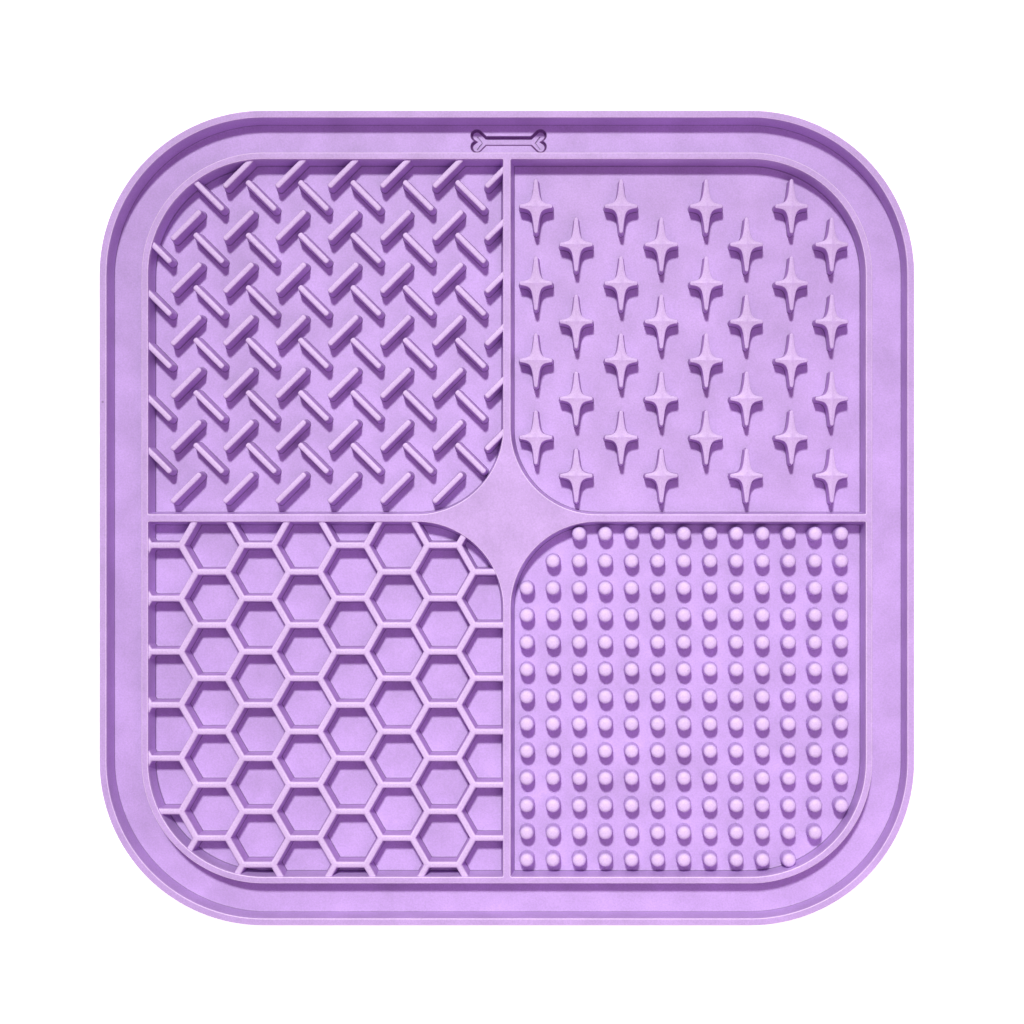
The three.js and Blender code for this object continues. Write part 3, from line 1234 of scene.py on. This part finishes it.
@dataclass(frozen=True)
class Honeycomb:
    """Honeycomb walls, as the filled pocket less its hexagonal cells.

    A cell's section runs from its floor up past the walls' tops, out from its edge up there.
    """

    even: Grid = Grid(4, 8, (22.8, 13.13), (-84.22, -0.14))
    odd: Grid = Grid(4, 8, (22.8, 13.13), (-72.82, -6.705))
    cell_width: float = 11.58
    section: Section = (
        Corner(-1.55, HEIGHTS.cell_floor),
        Corner(-0.35, HEIGHTS.cell_floor, 0.3),
        Corner(0.0, HEIGHTS.honeycomb_top, 0.65),
        Corner(0.585, HEIGHTS.honeycomb_top),
        Corner(0.585, HEIGHTS.rim_top),
    )
    section_steps: int = 4
    finish: Silicone = RELIEF

    def build(self) -> bpy.types.Object:
        """Makes the honeycomb.

        Returns:
            The honeycomb.
        """
        walls = PocketOutline(Quadrant.HONEYCOMB).filled("honeycomb", HEIGHTS.honeycomb_top)
        profile = rounded_profile(self.section, self.section_steps)
        cell = prototype("cell", HexagonOutline(self.cell_width), profile)
        tree = FieldTree("Honeycomb field")
        grids = {"Even columns": self.even, "Odd columns": self.odd}
        cells = tree.field(tree.other("Cell", cell), grids)
        cut = tree.node("GeometryNodeMeshBoolean", {
            "Mesh 1": tree.entry.outputs["Geometry"], "Mesh 2": cells,
        }, operation="DIFFERENCE", solver="EXACT")
        tree.apply(walls, cut.outputs["Mesh"], self.finish)
        bpy.data.objects.remove(cell)
        return walls


@dataclass(frozen=True)
class Pegs:
    """Round pegs with domed tops on a grid that skips two of the pocket's corners.

    There it skips what is no more than skip steps, across and down together, from the corner.
    """

    grid: Grid = Grid(13, 13, (6.485, 6.717), (4.8, -3.9))
    skip: int = 1
    radius: float = 1.74
    moulding: Moulding = Moulding(HEIGHTS.peg_top, edge=1.2, draft=0.2, foot=0.15, flat=0.34)
    finish: Silicone = DOMES_PAINTED_LIGHTER

    def build(self) -> bpy.types.Object:
        """Makes the field of pegs.

        Returns:
            The field.
        """
        pegs = prototype("pegs", RoundOutline(self.radius), self.moulding.profile())
        tree = FieldTree("Peg field")
        points = tree.grid("Grid", self.grid)
        skip = tree.value("Skipped steps", "Float", self.skip + 0.5)
        position = tree.node("GeometryNodeInputPosition", {}).outputs[0]
        (first_x, first_y), (pitch_x, pitch_y) = self.grid.first, self.grid.pitch
        away = tree.vector("SUBTRACT", position, (first_x * MM, first_y * MM, 0.0))
        steps_a_metre = (1 / (pitch_x * MM), -1 / (pitch_y * MM), 0.0)
        steps = tree.vector("DOT_PRODUCT", away.outputs[0], steps_a_metre).outputs["Value"]
        last = self.grid.columns + self.grid.rows - 2.0
        nearest = tree.math("MINIMUM", steps, tree.math("SUBTRACT", last, steps))
        kept = tree.without(points, tree.math("LESS_THAN", nearest, skip))
        tree.apply(pegs, tree.copies(kept, tree.entry.outputs["Geometry"]), self.finish)
        return pegs


@dataclass(frozen=True)
class Studio:
    """The pale floor, the lights and the camera over the mat.

    Places and lengths are in metres, angles in degrees and powers in watts. The sensor is in
    millimetres, and the camera's shift in shares of the picture's width.
    """

    floor_half: float = 6.0
    floor_rise: float = 0.7
    floor_grey: float = 0.9
    floor_roughness: float = 0.9
    camera_height: float = 0.494
    camera_x: float = 0.02143
    camera_y: float = -0.0096
    camera_shift: Point = (-0.08, 0.0439)
    camera_clip: Point = (0.01, 20.0)
    pixels_per_metre: float = 4062.5
    image_pixels: float = 1024.0
    sensor: float = 36.0
    key_power: float = 300.0
    key_distance: float = 3.0
    key_angle: float = 6.0
    key_elevation: float = 62.5
    key_turn: float = 7.0
    key_aim: Triple = (0.01, -0.06, 0.0)
    key_pool: float = 0.36
    fill_power: float = 0.3
    fill_tint: Triple = (1.15, 0.75, 1.25)
    fill_size: float = 0.25
    fill_place: Triple = (0.12, -0.12, 0.42)
    sky: float = 0.17
    sky_tint: Triple = (1.2, 0.6, 1.3)

    def build(self) -> None:
        """Makes the floor, the lights, the sky and the camera, and shows colours as they are."""
        self.floor()
        self.key()
        self.fill()
        self.world()
        self.camera()
        view = bpy.context.scene.view_settings
        view.view_transform = "Standard"
        view.look = "None"
        view.exposure = 0.0

    def floor(self) -> None:
        """Makes the floor, turned up far off so that low views show no sky."""
        mesh = bpy.data.meshes.new("floor")
        half = self.floor_half
        corners = [(-half, -half), (half, -half), (half, half), (-half, half)]
        levels = [(x, y, z) for z in (0.0, self.floor_rise) for x, y in corners]
        faces = [(0, 1, 2, 3)]
        for side in range(4):
            after = (side + 1) % 4
            faces.append((side, side + 4, after + 4, after))
        mesh.from_pydata(levels, [], faces)
        material = bpy.data.materials.new("Pale floor")
        material.use_nodes = True
        shader = material.node_tree.nodes["Principled BSDF"].inputs
        grey = self.floor_grey
        shader["Base Color"].default_value = (grey, grey, grey, 1.0)
        shader["Roughness"].default_value = self.floor_roughness
        shader["Emission Color"].default_value = (1.0, 1.0, 1.0, 1.0)
        shader["Emission Strength"].default_value = 1.0
        mesh.materials.append(material)
        floor = linked("floor", mesh)

    def key(self) -> None:
        """Makes the spotlight from the far side."""
        key = bpy.data.lights.new("Key", "SPOT")
        key.energy = self.key_power
        key.shadow_soft_size = self.key_distance * math.tan(math.radians(self.key_angle / 2))
        key.spot_size = 2 * math.atan(self.key_pool / self.key_distance)
        key.spot_blend = 1.0
        tilt = math.radians(90 - self.key_elevation)
        turn = math.radians(self.key_turn)
        from_light = Vector((
            -math.sin(turn) * math.sin(tilt),
            math.cos(turn) * math.sin(tilt),
            math.cos(tilt),
        ))
        lamp = linked("Key", key)
        lamp.location = Vector(self.key_aim) + from_light * self.key_distance
        lamp.rotation_euler = from_light.to_track_quat("Z", "Y").to_euler()

    def fill(self) -> None:
        """Makes the small soft light above the near right of the mat."""
        fill = bpy.data.lights.new("Fill", "AREA")
        fill.energy = self.fill_power
        fill.color = self.fill_tint
        fill.size = self.fill_size
        linked("Fill", fill).location = self.fill_place

    def world(self) -> None:
        """Makes the even sky."""
        world = bpy.data.worlds.new("Sky")
        world.use_nodes = True
        background = world.node_tree.nodes["Background"].inputs
        background["Color"].default_value = (*self.sky_tint, 1.0)
        background["Strength"].default_value = self.sky
        bpy.context.scene.world = world

    def camera(self) -> None:
        """Makes the camera, straight above the mat, at the photograph's distance and scale."""
        data = bpy.data.cameras.new("Camera")
        focal_pixels = self.pixels_per_metre * self.camera_height
        data.sensor_width = self.sensor
        data.lens = self.sensor * focal_pixels / self.image_pixels
        data.clip_start, data.clip_end = self.camera_clip
        data.shift_x, data.shift_y = self.camera_shift
        camera = linked("Camera", data)
        camera.location = (self.camera_x, self.camera_y, self.camera_height + HEIGHTS.lip_top * MM)
        bpy.context.scene.camera = camera


def attach(piece: bpy.types.Object) -> None:
    """Joins a finished piece to the frame and reports it.

    Args:
        piece: The piece, which stands for part of the moulding.
    """
    even_shading(piece)
    piece.data.calc_loop_triangles()
    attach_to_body(piece, BODY)
    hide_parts(NODE)
    LOG.info("%s: %d triangles", piece.name, len(piece.data.loop_triangles))


def main() -> None:
    """Builds the mat and its studio."""
    logging.basicConfig(level=logging.INFO)
    for part in (Body(), Bars(), Stars(), Honeycomb(), Pegs()):
        attach(part.build())
    Studio().build()


if __name__ == "__main__":
    main()
